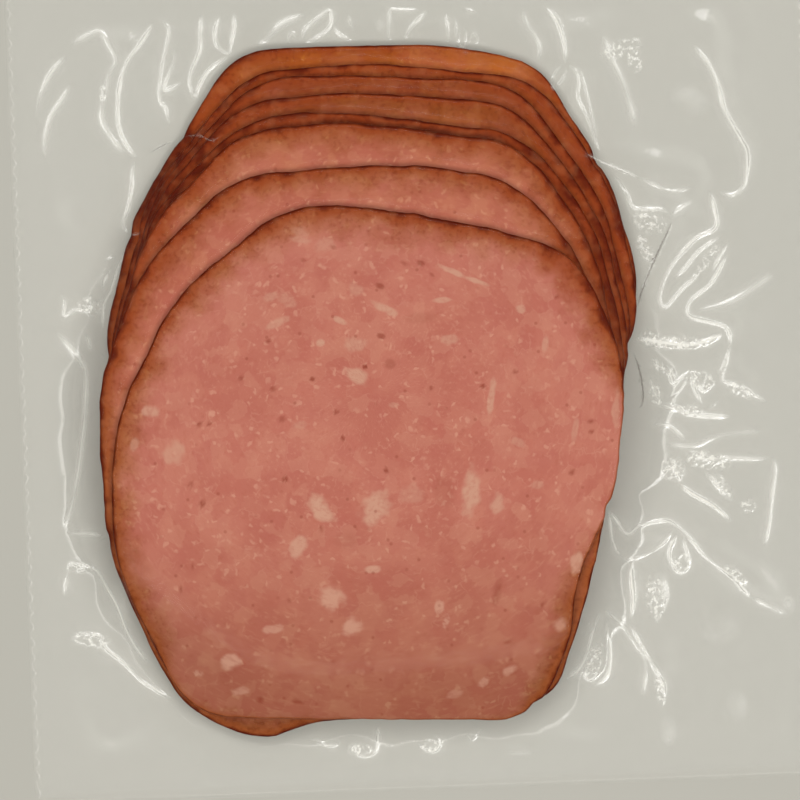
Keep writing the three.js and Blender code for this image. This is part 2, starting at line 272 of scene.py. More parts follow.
def rounded_outline(corners):
    """A closed line through the corners, each cut off by a smooth bend, with a point each 1 to 2 mm."""
    corners = [np.array(c, float) for c in corners]
    line = []
    for i, corner in enumerate(corners):
        ends = []
        for other in (corners[i - 1], corners[(i + 1) % len(corners)]):
            share = min(CORNER_ROUNDING / np.linalg.norm(other - corner), 0.5)
            ends.append(corner + (other - corner) * share)
        for t in np.linspace(0, 1, 10):
            line.append((1 - t) ** 2 * ends[0] + 2 * t * (1 - t) * corner + t * t * ends[1])
    steps = []
    for start, end in zip(line, line[1:] + line[:1]):
        count = max(1, int(np.linalg.norm(end - start)))
        steps += [start + (end - start) * k / count for k in range(count)]
    return np.array(steps)


def reach_of(index):
    """How far slice number index reaches from the fan's centre, as angles and distances."""
    outline = rounded_outline(SLICE_CORNERS[index])
    angle, distance = polar(outline[:, 0], outline[:, 1])
    order = np.argsort(angle)
    return angle[order], distance[order]


REACHES = [reach_of(index) for index in range(8)]


def reach(index, angle):
    return np.interp(angle, *REACHES[index], period=2 * math.pi)


def rim(index, angle):
    """The slice's real edge: its outline with the knife's small waves, drawn in where the film pinches."""
    circle = np.stack([np.cos(angle), np.sin(angle)], 1) * 60
    edge = reach(index, angle)
    edge = edge + LONG_WAVES[0] * uneven(circle, LONG_WAVES[1], index)
    edge = edge + SHORT_WAVES[0] * uneven(circle, SHORT_WAVES[1], index + 20)
    x, y = CENTRE[0] + edge * np.cos(angle), CENTRE[1] + edge * np.sin(angle)
    for pixel in PINCHES:
        px, py = seen_at(*pixel, 5)
        edge = edge - PINCH_DEPTH * np.exp(-((x - px) ** 2 + (y - py) ** 2) / PINCH_WIDTH**2)
    return edge


def underside(index, x, y):
    """The height of slice number index's underside: a layer up for each slice below, sinking past its edge."""
    angle, distance = polar(x, y)
    height = np.full(np.shape(x), FIRST_SLICE, float)
    for below in range(index):
        past = distance - reach(below, angle) - DRAPE_START
        height += LAYER * (1 - smooth(past, 0, DRAPE_LENGTH))
    return height


def spots(x, y, listed, height):
    """1 in the middle of each listed spot, 0 at its edge and below 0 outside; and the nearest one's strength."""
    best, strength = np.full(len(x), -1.0), np.zeros(len(x))
    for across, down, length, width, turn, strong in listed:
        px, py = seen_at(across, down, height)
        c, s = math.cos(math.radians(turn)), math.sin(math.radians(turn))
        along, over = (x - px) * c + (y - py) * s, (y - py) * c - (x - px) * s
        inside = 1 - np.hypot(along / (length / 2), over / (width / 2))
        strength = np.where(inside > best, strong, strength)
        best = np.maximum(best, inside)
    return best, strength


def rind_and_shade_width(index, angle):
    """How wide the brown rim and its painted shade are round a slice, against the usual."""
    table = np.array(RIND_AND_SHADE_WIDTHS[(0, 1, 1, 1, 1, 2, 2, 3)[index]])
    places = np.array([seen_at(across, down, 10) for across, down, _ in table])
    at, _ = polar(places[:, 0], places[:, 1])
    order = np.argsort(at)
    width = np.interp(angle, at[order], table[order, 2], period=2 * math.pi)
    return width * (1 + 0.45 * uneven(np.stack([np.cos(angle), np.sin(angle)], 1) * 60, 9, index + 40))


def mesh_piece(name, points, faces, attributes, material):
    """A smooth mesh piece from points in millimetres, with one number for each point in each attribute."""
    mesh = bpy.data.meshes.new(name)
    mesh.from_pydata([tuple(p) for p in np.asarray(points) * 0.001], [], faces)
    mesh.polygons.foreach_set("use_smooth", [True] * len(mesh.polygons))
    for label, values in attributes.items():
        width = np.ndim(values)
        layer = mesh.attributes.new(label, "FLOAT" if width == 1 else "FLOAT_VECTOR", "POINT")
        layer.data.foreach_set("value" if width == 1 else "vector", np.ravel(values).astype(np.float32))
    mesh.materials.append(material)
    piece = bpy.data.objects.new(name, mesh)
    bpy.context.collection.objects.link(piece)
    return piece


def smoked_ham(name, seed):
    """Cooked, pressed pork with a smoked rim, moist but under clinging film, so its own gloss is faint
    and soft. It is pink inside, orange to red-brown at the rim, with pale fat and dark pores."""
    material, tree = new_material(name)
    place = add(tree, "TexCoord").outputs["Object"]
    mm = add(tree, "Mapping", {"Vector": place, "Location": (seed * 31.0, seed * 17.0, seed * 5.0),
                               "Scale": (1000, 1000, 1000)}).outputs[0]
    grain = add(tree, "Attribute", attribute_name="grain").outputs["Vector"]
    to_rim = add(tree, "Attribute", attribute_name="to_rim").outputs["Fac"]

    def blend(share, low, high, kind="MIX"):
        mixed = add(tree, "Mix", {0: share, 6: low, 7: high}, data_type="RGBA", blend_type=kind)
        return mixed.outputs[2]

    def ramp(value, low, high, start=0.0, end=1.0):
        feeds = {"Value": value, "From Min": low, "From Max": high, "To Min": start, "To Max": end}
        return add(tree, "MapRange", feeds, interpolation_type="SMOOTHSTEP").outputs[0]

    def sums(operation, *values):
        return add(tree, "Math", dict(enumerate(values)), operation=operation).outputs[0]

    # The pressed meat: soft patches of two pinks, redder here and there
    push = add(tree, "TexNoise", {"Vector": mm, "Scale": 0.4, "Detail": 2}, noise_dimensions="2D").outputs["Color"]
    pushed = add(tree, "VectorMath", {0: push, 1: (3.4, 3.4, 3.4), 2: mm}, operation="MULTIPLY_ADD").outputs[0]
    broad = add(tree, "TexNoise", {"Vector": mm, "Scale": 0.07, "Detail": 2}, noise_dimensions="2D").outputs["Fac"]
    middle = add(tree, "TexNoise", {"Vector": pushed, "Scale": 0.16, "Detail": 2}, noise_dimensions="2D")
    middle = middle.outputs["Fac"]
    streak = add(tree, "TexNoise", {"Vector": grain, "Scale": 0.5, "Detail": 3}).outputs["Fac"]
    meat = blend(ramp(broad, 0.4, 0.6), linear(LEAN), linear(LEAN_DEEP))
    meat = blend(ramp(middle, 0.52, 0.72, 0, 0.35), meat, linear("B8665A"))
    meat = blend(ramp(middle, 0.48, 0.3, 0, 0.3), meat, linear("CC856F"))
    meat = blend(ramp(streak, 0.54, 0.72, 0, 0.35), meat, linear("D08F78"))
    meat = blend(ramp(streak, 0.44, 0.3, 0, 0.25), meat, linear("B1604C"))
    # Chopped pieces of 2 to 4 mm, some of them paler, with thin pale skins between a few
    cell = add(tree, "TexVoronoi", {"Vector": pushed, "Scale": 0.3, "Smoothness": 0.5},
               voronoi_dimensions="2D", feature="SMOOTH_F1")
    pick = add(tree, "SeparateColor", {0: cell.outputs["Color"]}).outputs
    meat = blend(ramp(pick[0], 0.55, 0.85, 0, 0.28), meat, linear("CF8E77"))
    meat = blend(ramp(pick[1], 0.6, 0.85, 0, 0.22), meat, linear("BE6A5B"))
    skin = add(tree, "TexVoronoi", {"Vector": pushed, "Scale": 0.3},
               voronoi_dimensions="2D", feature="DISTANCE_TO_EDGE")
    patchy = add(tree, "TexNoise", {"Vector": mm, "Scale": 0.3, "Detail": 1}, noise_dimensions="2D").outputs["Fac"]
    skins = sums("MULTIPLY", ramp(skin.outputs["Distance"], 0.09, 0.0), ramp(patchy, 0.52, 0.68, 0, 0.22))
    meat = blend(skins, meat, linear("D89C85"))
    # Pinpricks of fat, about a millimetre across
    bits = add(tree, "VectorMath", {0: push, 1: (2.3, 2.3, 2.3), 2: mm}, operation="MULTIPLY_ADD").outputs[0]
    prick = add(tree, "TexVoronoi", {"Vector": bits, "Scale": 0.62}, voronoi_dimensions="2D", feature="F1")
    picked = add(tree, "SeparateColor", {0: prick.outputs["Color"]}).outputs
    meat = blend(sums("MULTIPLY", ramp(prick.outputs["Distance"], 0.4, 0.1), ramp(picked[1], 0.76, 0.97, 0, 0.42)),
                 meat, linear("DDA38B"))
    # Painted shade: the lower end hangs down over the rim of the pile, in less light, so it is darkened and browned
    # a little
    down = add(tree, "SeparateXYZ", {0: place}).outputs[1]
    meat = blend(ramp(down, -0.02, -0.078), meat, linear("DCDAC8"), "MULTIPLY")
    # The smoked rim, which the smoke has browned from outside in; it also carries painted shade where the rims stack
    # and on the lower slices
    ragged = add(tree, "TexNoise", {"Vector": mm, "Scale": 0.22, "Detail": 2}).outputs["Fac"]
    depth = sums("ADD", to_rim, sums("MULTIPLY_ADD", ragged, 8.0, -4.0))
    meat = blend(ramp(depth, SMOKE_REACH[seed], 0.5), meat, linear("D8C898"), "MULTIPLY")
    # The smoke's tint, which on the lower slices is also painted shade
    meat = blend(ramp(middle, 0.3, 0.65, 1.0, 0.75), meat, linear(SMOKE_AND_SHADE_TINTS[seed]), "MULTIPLY")
    near_rim = add(tree, "Attribute", attribute_name="near_rim").outputs["Fac"]
    near_rim = sums("ADD", near_rim, sums("MULTIPLY_ADD", ragged, 3.2, -1.6))
    # Where the rims stack close the crust is widened to paint their shade, and the dark line at the very rim is
    # partly burnt rind and partly painted shade in the step down to the slice below
    crust = blend(ramp(down, 0.02, -0.02), linear(CRUST_UPPER), linear(CRUST_LOWER))
    meat = blend(ramp(near_rim, 3.8, 0.3, 0, 0.85), meat, crust)
    meat = blend(ramp(near_rim, 1.4, -0.2, 0, 0.95), meat, linear(CRUST_BURNT_AND_SHADE))
    # The browned parts are mottled, where fat and lean take the smoke unlike
    torn = add(tree, "TexNoise", {"Vector": mm, "Scale": 1.0, "Detail": 2}).outputs["Fac"]
    browned = ramp(depth, SMOKE_REACH[seed], 2.0, 0.0, 1.0)
    meat = blend(sums("MULTIPLY", browned, ramp(torn, 0.52, 0.3, 0, 0.45)), meat, linear("C8A890"), "MULTIPLY")
    meat = blend(sums("MULTIPLY", browned, ramp(patchy, 0.5, 0.75, 0, 0.16)), meat, linear("BC744C"))
    # Named fat pieces, and pores, in the slice that shows its face
    edge = add(tree, "TexNoise", {"Vector": mm, "Scale": 0.35, "Detail": 1}, noise_dimensions="2D").outputs["Fac"]
    wobble = sums("MULTIPLY_ADD", edge, 0.8, -0.45)
    fat = add(tree, "Attribute", attribute_name="fat").outputs["Fac"]
    richness = add(tree, "Attribute", attribute_name="richness").outputs["Fac"]
    vein = ramp(streak, 0.55, 0.35, 1.0, 0.7)
    fatty = sums("MULTIPLY", ramp(sums("ADD", fat, wobble), -0.05, 0.5), sums("MULTIPLY", richness, vein))
    meat = blend(fatty, meat, linear(FAT))
    pit = add(tree, "TexVoronoi", {"Vector": mm, "Scale": 0.22}, voronoi_dimensions="2D", feature="F1")
    pick3 = add(tree, "SeparateColor", {0: pit.outputs["Color"]}).outputs[2]
    small = sums("MULTIPLY", ramp(pit.outputs["Distance"], 0.11, 0.04), ramp(pick3, 0.7, 0.9, 0, 0.5))
    pore = add(tree, "Attribute", attribute_name="pore").outputs["Fac"]
    meat = blend(sums("MULTIPLY", sums("MAXIMUM", pore, small), 0.75), meat, linear(PORE_BROWN))
    # Relief: fat stands a little proud, pores are pits, the cut face is finely torn
    relief = sums("MULTIPLY_ADD", torn, 0.35, sums("SUBTRACT", ramp(fat, 0.0, 0.3, 0.0, 0.3), pore))
    bump = add(tree, "Bump", {"Height": relief, "Strength": 0.6, "Distance": 0.00012}).outputs["Normal"]
    rough = ramp(torn, 0.3, 0.7, 0.5, 0.62)
    shader = add(tree, "BsdfPrincipled", {
        "Base Color": meat, "Roughness": rough, "IOR": 1.38, "Specular IOR Level": 0.12,
        "Normal": bump})
    add(tree, "OutputMaterial", {"Surface": shader.outputs[0]})
    return material


def slice_piece(index):
    """One slice: rings from the middle out, over the rounded rim and back under it."""
    top_slice = index == 7
    spokes = 420 if top_slice else 300
    angle = np.linspace(-math.pi, math.pi, spokes, endpoint=False)
    edge = rim(index, angle)
    half = SLICE / 2
    if top_slice:
        shares = np.linspace(0.012, 1, 104)
    else:
        shares = np.concatenate([np.linspace(0.05, 0.5, 8), np.linspace(0.53, 1, 30)])
    rings = [(share * (edge - ROUND_OVER), half) for share in shares]
    for tilt in np.radians([65, 40, 15, -15, -40, -65, -90]):
        rings.append((edge - ROUND_OVER + ROUND_OVER * math.cos(tilt), half * math.sin(tilt)))
    rings += [(share * (edge - ROUND_OVER), -half) for share in np.linspace(0.94, 0.05, 14)]
    points, to_rim, near_rim, grain = [], [], [], []
    rind_and_shade = np.maximum(rind_and_shade_width(index, angle), 0.05)
    for distance, height in rings:
        x, y = CENTRE[0] + distance * np.cos(angle), CENTRE[1] + distance * np.sin(angle)
        z = underside(index, x, y) + half + height
        points.append(np.stack([x, y, z], 1))
        to_rim.append(edge - distance if abs(height) == half else np.minimum(edge - distance, 0.1))
        near_rim.append(to_rim[-1] / rind_and_shade)
        grain.append(np.stack([52 * np.cos(angle), 52 * np.sin(angle), 2.6 * distance], 1))
    points, grain = np.concatenate(points), np.concatenate(grain)
    to_rim, near_rim = np.append(np.concatenate(to_rim), [60, 60]), np.append(np.concatenate(near_rim), [60, 60])
    if index in (0, 7):
        pale = np.maximum(0, 0.9 - np.append(np.tile(rind_and_shade, len(rings)), [1, 1]))
        to_rim, near_rim = to_rim + 9 * pale, near_rim + 0.8 * pale
    points[:, 2] += SWELL[0] * uneven(points[:, :2], SWELL[1], 3)
    faces = []
    for ring in range(len(rings) - 1):
        low, high = ring * spokes, (ring + 1) * spokes
        faces += [(low + i, high + i, high + (i + 1) % spokes, low + (i + 1) % spokes) for i in range(spokes)]
    for first, turn in ((0, 1), ((len(rings) - 1) * spokes, -1)):
        middle = len(points)
        points = np.vstack([points, [*CENTRE, points[first : first + spokes, 2].mean()]])
        grain = np.vstack([grain, [0, 0, 0]])
        for i in range(spokes):
            faces.append((first + i, first + (i + 1) % spokes, middle)[::turn])
    fat = pore = np.full(len(points), -1.0)
    richness = np.zeros(len(points))
    if top_slice:
        fat, richness = spots(points[:, 0], points[:, 1], FAT_PIECES, TOP_FACE)
        pore, deep = spots(points[:, 0], points[:, 1], PORES, TOP_FACE)
        pore = smooth(pore, 0, 0.5) * deep
        above = np.arange(len(points)) < len(shares) * spokes
        points[:, 2] -= np.where(above, 0.1 * pore, 0)
    attributes = {"to_rim": to_rim, "near_rim": near_rim, "grain": grain, "fat": fat, "richness": richness,
                  "pore": pore}
    finish = smoked_ham(f"smoked_ham_{index + 1}", index)
    return mesh_piece(f"ham_slice_{index + 1}", points, faces, attributes, finish)


for index in range(8):
    ham_slice = slice_piece(index)
    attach(ham_slice, "root")
    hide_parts(f"slice_{index + 1}")

# --- Front film --------------------------------------------------------------------------------
# The pouch's front: the same clear film, sucked down on the slices by the vacuum. It clings to
# them, spans from their rims to the back film, and gathers in sharp creases where it is slack.

FILM_REST = 0.62  # its outside where it lies on the back film
FILM_CLEAR = 0.28  # its outside over the ham
FILM_WALL = 0.1
TENT_FOOT = 1.6
TENT_SPREAD = 0.75
# Broad slack folds: where each starts and ends, its height and its half width
FOLDS = [
    ((-50, 55), (-62, 78), 1.2, 4), ((-38, 70), (-42, 80), 0.8, 3.5), ((-24, 74), (-26, 81), 0.8, 3.5),
    ((-8, 74), (-8, 82), 0.8, 3.5), ((8, 73), (12, 82), 0.8, 3.5), ((30, 64), (42, 78), 0.6, 4.5),
    ((39, 50), (62, 42), 1.4, 4), ((66, 76), (70, 46), 1.2, 4), ((47, 19), (57, 36), 1.3, 4),
    ((46, 8), (68, 10), 1.2, 4), ((45, -4), (68, -2), 1.1, 4.5), ((41, -28), (78, -50), 1.5, 4),
    ((38, -32), (50, -64), 1.2, 4), ((24, -70), (34, -79), 0.9, 4), ((-10, -75), (-12, -81), 0.7, 4),
    ((-56, -66), (-70, -76), 1.0, 4), ((-67, -34), (-78, -34), 0.8, 4), ((-68, 10), (-78, 4), 1.0, 4),
    ((-62, 34), (-78, 40), 1.0, 4),
]
# Creases: height, half width, and the pixels of the photograph that each runs through
# A height below 0 marks a crease that is drawn with grey painted shade
CREASES = [
    # upper left
    (0.35, 1.1, [(35, 128), (36, 113), (41, 93), (51, 73), (66, 56)]),
    (0.35, 1.1, [(45, 160), (45, 138), (51, 116), (63, 98), (70, 85)]),
    (0.30, 1.2, [(71, 45), (86, 36), (100, 32), (109, 45), (116, 61), (109, 75), (106, 93), (102, 106), (103, 123),
                 (116, 143), (126, 154)]),
    (0.40, 0.9, [(154, 22), (141, 43), (129, 60), (121, 80), (118, 103), (119, 126), (126, 144), (138, 159)]),
    (0.35, 0.8, [(138, 159), (133, 167), (132, 186), (128, 207), (123, 224), (131, 235)]),
    (0.35, 0.8, [(161, 18), (169, 30), (167, 43), (163, 61), (160, 80), (160, 100), (166, 109), (170, 126)]),
    (0.35, 0.8, [(173, 45), (174, 61), (166, 81), (164, 91), (176, 86), (184, 80)]),
    (0.35, 0.8, [(201, 13), (201, 33), (200, 50), (191, 73), (190, 86), (195, 96), (199, 86), (209, 70), (230, 55)]),
    (0.40, 0.8, [(222, 13), (216, 27), (215, 37), (218, 47), (228, 53), (231, 43), (234, 29), (234, 12)]),
    (-0.35, 0.45, [(175, 141), (166, 144), (149, 153)]),
    # top
    (0.35, 1.6, [(255, 47), (268, 37), (282, 24), (305, 14)]),
    (0.25, 0.7, [(288, 45), (289, 36), (294, 33), (296, 43)]),
    (0.30, 0.8, [(301, 41), (305, 29), (315, 20), (324, 13), (330, 11), (331, 23), (326, 31), (315, 38), (305, 43)]),
    (0.35, 0.8, [(334, 22), (336, 31), (344, 37), (352, 40)]),
    (0.30, 0.7, [(348, 11), (350, 22), (354, 31)]),
    (0.30, 0.8, [(423, 10), (400, 10), (391, 10), (389, 22), (389, 36), (394, 43)]),
    (0.40, 0.9, [(429, 9), (419, 19), (410, 28), (404, 42)]),
    (0.28, 0.7, [(448, 10), (446, 17), (448, 29), (448, 42)]),
    (0.28, 0.7, [(455, 17), (456, 29), (456, 43)]),
    (0.30, 0.6, [(461, 27), (459, 42), (464, 48), (466, 33), (462, 26)]),
    (0.30, 0.6, [(469, 47), (471, 37), (475, 34), (478, 41), (473, 47)]),
    (0.30, 0.8, [(462, 8), (479, 13)]),
    # upper right
    (0.30, 0.9, [(526, 8), (524, 15), (528, 26), (535, 36), (540, 48), (537, 64)]),
    (0.40, 0.8, [(543, 6), (553, 15), (559, 26), (564, 43), (565, 57), (565, 64)]),
    (0.30, 0.7, [(565, 64), (556, 71), (552, 82), (554, 89), (565, 75), (566, 66)]),
    (0.35, 0.8, [(566, 64), (576, 71), (579, 82), (578, 97), (588, 118), (594, 136), (600, 152)]),
    (0.30, 0.7, [(576, 64), (582, 77), (589, 103), (594, 126), (599, 150)]),
    (0.30, 1.3, [(602, 34), (611, 57), (623, 83), (631, 108), (635, 128)]),
    (0.40, 1.0, [(692, 44), (706, 61), (717, 85), (725, 112), (739, 138), (746, 152), (746, 173), (743, 187),
                 (731, 195), (719, 191)]),
    (0.50, 0.45, [(584, 155), (600, 161), (619, 169), (639, 177)]),
    (0.35, 0.8, [(639, 177), (670, 191), (692, 187)]),
    (0.35, 0.8, [(613, 175), (627, 193), (635, 208), (662, 210), (668, 218)]),
    (-0.50, 0.40, [(672, 222), (656, 256), (641, 293), (636, 308)]),
    (0.30, 0.8, [(692, 201), (676, 210), (670, 220)]),
    (0.40, 0.8, [(709, 189), (715, 210), (715, 228), (694, 240), (672, 265), (662, 287), (660, 301), (666, 307),
                 (682, 289), (700, 273)]),
    (0.45, 0.8, [(728, 252), (711, 283), (692, 299), (687, 310), (692, 318), (721, 325), (728, 332), (731, 348)]),
    (0.40, 0.8, [(730, 240), (717, 261), (711, 275)]),
    (0.40, 0.8, [(721, 236), (700, 250), (684, 269), (674, 279)]),
    (0.25, 1.2, [(694, 312), (731, 301), (774, 273)]),
    # right
    (0.55, 1.3, [(636, 338), (659, 342), (688, 345), (703, 342), (722, 334)]),
    (0.40, 0.7, [(731, 342), (726, 359), (722, 368), (717, 377)]),
    (0.40, 0.7, [(730, 348), (726, 364), (722, 374), (723, 381), (732, 384), (744, 390), (767, 402)]),
    (0.40, 0.8, [(648, 362), (659, 367), (669, 374), (673, 383), (682, 377), (691, 370)]),
    (0.40, 0.8, [(647, 375), (650, 387), (654, 396), (659, 403)]),
    (0.40, 0.8, [(667, 402), (676, 406), (688, 414), (700, 414)]),
    (0.35, 0.7, [(667, 399), (679, 390), (685, 381), (688, 373)]),
    (0.35, 0.7, [(691, 371), (694, 389), (703, 406)]),
    (0.35, 0.7, [(694, 377), (700, 389), (706, 390), (714, 381)]),
    (0.35, 0.7, [(706, 409), (714, 405), (720, 397)]),
    (0.40, 1.0, [(656, 403), (691, 414), (709, 416), (732, 417)]),
    (-0.50, 0.40, [(630, 352), (635, 367), (639, 389), (639, 403), (635, 409)]),
    (-0.40, 0.35, [(624, 401), (628, 405), (631, 409)]),
    (0.30, 1.0, [(648, 424), (666, 425), (676, 431), (688, 443)]),
    (0.30, 1.0, [(665, 444), (694, 446), (709, 440), (726, 434), (761, 431)]),
    (0.45, 1.0, [(685, 449), (703, 458), (728, 458), (754, 459), (769, 458)]),
    (0.35, 1.0, [(773, 456), (775, 471), (772, 494), (769, 521), (764, 547)]),
    (0.50, 0.9, [(679, 483), (691, 493), (712, 505), (731, 521)]),
    (0.45, 1.0, [(704, 470), (716, 484), (724, 494), (732, 501)]),
    (0.40, 0.8, [(668, 457), (672, 466), (678, 476), (682, 484)]),
    # lower right
    (0.40, 0.8, [(604, 508), (615, 521), (626, 533), (641, 525), (662, 521), (673, 524), (688, 537), (704, 555),
                 (721, 568), (736, 580), (750, 597)]),
    (0.30, 1.2, [(751, 597), (770, 606), (788, 615)]),
    (0.40, 0.7, [(679, 531), (673, 540), (669, 552), (672, 563), (679, 572), (687, 569), (689, 560), (685, 546),
                 (681, 534)]),
    (0.30, 0.7, [(673, 527), (665, 541), (651, 552), (637, 558), (625, 559), (619, 554)]),
    (0.35, 0.7, [(604, 508), (609, 535), (615, 549), (622, 557)]),
    (0.45, 0.8, [(632, 558), (631, 578), (633, 601), (630, 621)]),
    (0.45, 0.8, [(630, 623), (637, 638), (649, 659), (659, 676), (664, 687), (663, 705)]),
    (0.30, 0.9, [(601, 606), (621, 624), (637, 646), (646, 661), (643, 696)]),
    (0.30, 0.9, [(600, 606), (591, 632), (580, 667), (563, 678)]),
    (0.30, 0.9, [(604, 613), (610, 647), (607, 675), (591, 687)]),
    (0.35, 0.7, [(601, 644), (591, 659), (585, 675), (592, 679), (601, 667)]),
    # bottom
    (0.35, 0.7, [(306, 740), (317, 740), (326, 745), (337, 745), (341, 738)]),
    (0.35, 0.7, [(346, 749), (355, 745), (357, 753), (366, 757), (375, 753), (378, 742), (378, 725)]),
    (0.35, 0.7, [(417, 742), (426, 749), (435, 751), (440, 742), (435, 733)]),
    (0.35, 0.7, [(466, 733), (473, 740), (482, 727)]),
    (0.30, 0.8, [(504, 753), (536, 753)]),
    # lower left
    (0.40, 0.9, [(68, 576), (71, 564), (81, 566), (96, 570), (106, 584), (119, 604), (127, 630), (137, 648),
                 (150, 662)]),
    (0.30, 0.9, [(71, 566), (66, 582), (65, 597)]),
    (0.40, 0.9, [(68, 643), (81, 635), (99, 635), (106, 648), (124, 663), (142, 681), (173, 699)]),
    (0.35, 0.6, [(108, 533), (101, 533), (66, 533)]),
    # over the rims at the pinches
    (0.2, 0.22, [(180, 138), (190, 137), (202, 138), (214, 144), (224, 139)]),
    (0.24, 0.3, [(128, 232), (136, 236), (146, 234)]),
    (0.22, 0.3, [(578, 156), (588, 158), (602, 161)]),
    (0.24, 0.3, [(102, 352), (112, 359)]),
    (0.24, 0.3, [(102, 540), (112, 535)]),
    # left
    (0.35, 0.7, [(116, 225), (123, 229), (131, 235)]),
    (0.35, 0.7, [(103, 261), (112, 257), (116, 260)]),
    (0.35, 0.7, [(112, 267), (106, 278), (103, 291)]),
    (0.35, 0.7, [(126, 253), (119, 270), (113, 292), (106, 306), (105, 329)]),
    (0.45, 0.8, [(60, 294), (65, 302), (65, 315), (75, 310), (86, 310), (96, 312)]),
    (0.40, 0.6, [(81, 306), (93, 294)]),
    (0.40, 0.6, [(83, 308), (97, 303)]),
    (0.40, 0.6, [(84, 311), (95, 318)]),
    (0.35, 0.8, [(83, 331), (88, 338), (92, 348), (96, 351)]),
    (0.30, 1.4, [(55, 330), (82, 362), (89, 379), (86, 431), (73, 502), (62, 530)]),
]
# Patches of fine crumples: middle pixel, half length and half width in pixels, turn in degrees
CRUMPLES = [
    (622, 48, 22, 9, 20), (634, 58, 16, 8, -70), (650, 222, 18, 12, -20), (646, 250, 18, 6, -65),
    (672, 342, 40, 7, -2), (662, 368, 16, 6, -30), (655, 396, 8, 12, 20), (700, 380, 16, 9, -10),
    (740, 390, 16, 6, -25), (674, 470, 12, 14, 0), (708, 460, 26, 10, -10), (722, 485, 18, 6, -55),
    (748, 506, 8, 8, 0), (655, 598, 10, 24, 5), (594, 660, 9, 20, -15), (681, 562, 9, 10, 0),
    (736, 575, 16, 5, -40), (82, 568, 16, 5, 0), (90, 306, 14, 9, 0), (92, 640, 20, 8, -10),
    (705, 262, 24, 5, 50), (362, 750, 16, 6, 0), (430, 746, 10, 6, 0), (660, 690, 5, 16, 10),
    (103, 94, 3, 9, 0), (690, 410, 14, 6, -10), (648, 335, 10, 6, 0),
]
# Low domes where air is left under the film: middle pixel, half width and half height in pixels, height
DOMES = [
    (720, 628, 24, 20, 0.3), (737, 706, 13, 24, 0.22), (669, 730, 12, 20, 0.2), (380, 25, 6, 9, 0.3),
    (432, 18, 4, 4, 0.2), (790, 604, 8, 12, 0.4), (660, 592, 12, 26, 0.55), (594, 660, 12, 24, 0.5),
    (690, 100, 26, 20, 0.3), (120, 600, 18, 30, 0.4),
]
CRUMPLE_SIZE = 1.4
CREASE_GLOW = 2.8  # how far from a crease its soft painted highlight reaches
THINNEST_GLOWING = 0.45  # the half width of the thinnest crease that does so
CREASE_STEP = 0.45
# Gaps between the sheet's points: the least allowed, over crumples, where it is slack, calm, and underneath
CLOSEST = 0.26
NET_CRUMPLED = 0.36
NET_SLACK = 0.66
NET_CALM = 1.9
NET_UNDER = 2.4
ROOM = 0.5  # the squares that the wider nets leave to the closer ones
EDGE_MARGIN = 0.8
CRUMPLE_HEIGHT = 0.24


def to_line(x, y, start, end):
    """Distance of points from a straight line's nearest place, and how far along that is."""
    (ax, ay), (bx, by) = start, end
    length = math.hypot(bx - ax, by - ay)
    ux, uy = (bx - ax) / length, (by - ay) / length
    along = np.clip((x - ax) * ux + (y - ay) * uy, 0, length)
    return np.hypot(x - ax - along * ux, y - ay - along * uy), along


def smooth_line(points, step):
    """A soft curve through the points, as places a step apart."""
    points = np.array(points, float)
    before, after = 2 * points[0] - points[1], 2 * points[-1] - points[-2]
    padded = np.vstack([before, points, after])
    line = []
    for i in range(1, len(padded) - 2):
        p0, p1, p2, p3 = padded[i - 1 : i + 3]
        for t in np.arange(0, 1, min(1, step / np.linalg.norm(p2 - p1)))[:, None]:
            line.append(0.5 * (2 * p1 + (p2 - p0) * t + (2 * p0 - 5 * p1 + 4 * p2 - p3) * t**2
                               + (3 * p1 - p0 - 3 * p2 + p3) * t**3))
    return np.vstack(line + [points[-1:]])


# Each crease's height, half width and line
LINES = [(height, 0.75 * width + 0.05, smooth_line([seen_at(*p) for p in pixels], CREASE_STEP))
         for height, width, pixels in CREASES]


def to_seal(x, y):
    return np.minimum(POUCH_WIDTH / 2 - np.abs(x), POUCH_LENGTH / 2 - np.abs(y)) - SEAL_WIDTH


def off_dome(x, y, dome):
    """How far points are from a dome's middle, against its half width and half height."""
    px, py = seen_at(*dome[:2])
    return np.hypot((x - px) / (dome[2] * PIXEL), (y - py) / (dome[3] * PIXEL))


def film_base(x, y):
    """The front film's height without creases, and how far each point lies outside the ham."""
    angle, distance = polar(x, y)
    height = np.full(len(x), FILM_REST)
    outside = np.full(len(x), 99.0)
    for index in range(8):
        edge = rim(index, angle)
        past = distance - edge
        rx, ry = CENTRE[0] + edge * np.cos(angle), CENTRE[1] + edge * np.sin(angle)
        on_slice = underside(index, x, y) + SLICE + FILM_CLEAR
        at_rim = underside(index, rx, ry) + SLICE + FILM_CLEAR
        rise = np.maximum(at_rim - height, 0)
        foot = (TENT_FOOT + TENT_SPREAD * rise) * (1 + 0.45 * uneven(np.stack([rx, ry], 1), 7, 12))
        tent = rise * np.clip(1 - (past + 0.5) / foot, 0, 1) ** 2
        height = np.where(past < -0.5, np.maximum(height, on_slice), height + tent)
        outside = np.minimum(outside, past)
    slack = smooth(to_seal(x, y), 0, 7) * smooth(outside, 0, 5)
    folds = np.zeros(len(x))
    for start, end, high, wide in FOLDS:
        away, _ = to_line(x, y, start, end)
        folds = np.maximum(folds, 0.5 * high * np.exp(-((away / wide) ** 2)))
    for dome in DOMES:
        folds = np.maximum(folds, dome[4] * np.clip(1 - off_dome(x, y, dome) ** 2, 0, 1) ** 2)
    waves = 0.22 * uneven(np.stack([x, y], 1), 11, 5) + 0.12 * uneven(np.stack([x, y], 1), 4.5, 6)
    height += slack * (np.maximum(folds, 0) + np.maximum(waves + 0.15, 0))
    return height, outside


